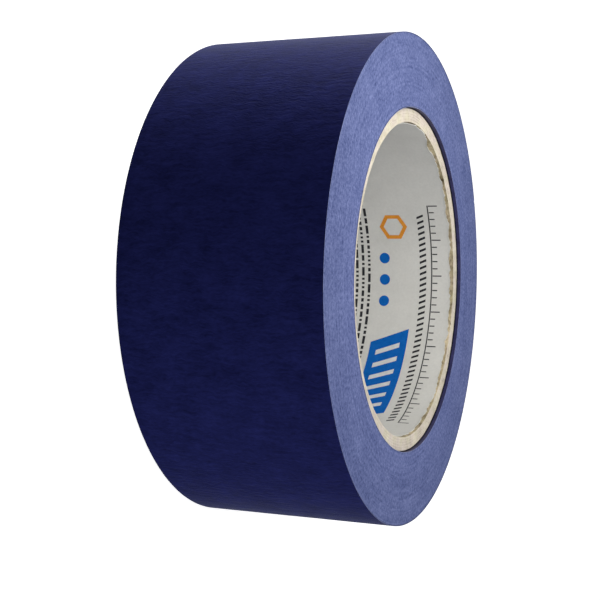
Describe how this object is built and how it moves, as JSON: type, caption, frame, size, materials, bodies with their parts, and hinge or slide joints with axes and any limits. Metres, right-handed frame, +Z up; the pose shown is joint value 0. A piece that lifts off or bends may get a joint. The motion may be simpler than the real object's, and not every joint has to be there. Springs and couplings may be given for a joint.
{
  "type": "masking tape roll",
  "caption": "Roll of blue masking tape wound on a lined board core, lying on one end, with a free end that peels away from the roll.",
  "frame": {"origin": "on the axis of the core's bore, half-way along it", "axes": "+Z up, along the core's axis, towards the end of the roll that the picture shows; +Y is the way that is up in the picture; the free end of the tape lies at the back, towards +X"},
  "size_m": [0.1188, 0.1189, 0.048],
  "materials": {
    "tape": "matte dark blue crepe paper",
    "tape_edge": "matte slit edges of wound blue paper",
    "core_board": "matte cream board with cut edges",
    "printed_paper": "matte grey-white paper with a plain print"
  },
  "bodies": {
    "roll": {"core_liner": "printed_paper", "core_ply_1": "core_board", "core_ply_2": "core_board", "core_ply_3": "core_board", "core_ply_4": "core_board", "core_ply_5": "core_board", "core_facing": "core_board", "first_turn": "tape", "tape_pack": "tape_edge", "outer_turn": "tape"},
    "lift_1": {"tape_end_1": "tape"},
    "lift_2": {"tape_end_2": "tape"},
    "lift_3": {"tape_end_3": "tape"},
    "lift_4": {"tape_end_4": "tape"},
    "lift_5": {"tape_end_5": "tape"},
    "lift_6": {"tape_end_6": "tape"}
  },
  "joints": [
    {"name": "peel_1", "type": "hinge", "parent": "roll", "child": "lift_1", "pos_m": [0.02406, 0.05447, 0], "axis": [0, 0, 1], "range_deg": [0, 20]},
    {"name": "peel_2", "type": "hinge", "parent": "lift_1", "child": "lift_2", "pos_m": [0.03114, 0.05077, 0], "axis": [0, 0, 1], "range_deg": [0, 20]},
    {"name": "peel_3", "type": "hinge", "parent": "lift_2", "child": "lift_3", "pos_m": [0.03766, 0.04614, 0], "axis": [0, 0, 1], "range_deg": [0, 20]},
    {"name": "peel_4", "type": "hinge", "parent": "lift_3", "child": "lift_4", "pos_m": [0.0435, 0.04069, 0], "axis": [0, 0, 1], "range_deg": [0, 20]},
    {"name": "peel_5", "type": "hinge", "parent": "lift_4", "child": "lift_5", "pos_m": [0.04856, 0.0345, 0], "axis": [0, 0, 1], "range_deg": [0, 20]},
    {"name": "peel_6", "type": "hinge", "parent": "lift_5", "child": "lift_6", "pos_m": [0.05274, 0.02769, 0], "axis": [0, 0, 1], "range_deg": [0, 20]}
  ],
  "couplings": [
    {"joint": "peel_2", "follows": "peel_1", "ratio": 1},
    {"joint": "peel_3", "follows": "peel_1", "ratio": 1},
    {"joint": "peel_4", "follows": "peel_1", "ratio": 1},
    {"joint": "peel_5", "follows": "peel_1", "ratio": 1},
    {"joint": "peel_6", "follows": "peel_1", "ratio": 1}
  ]
}
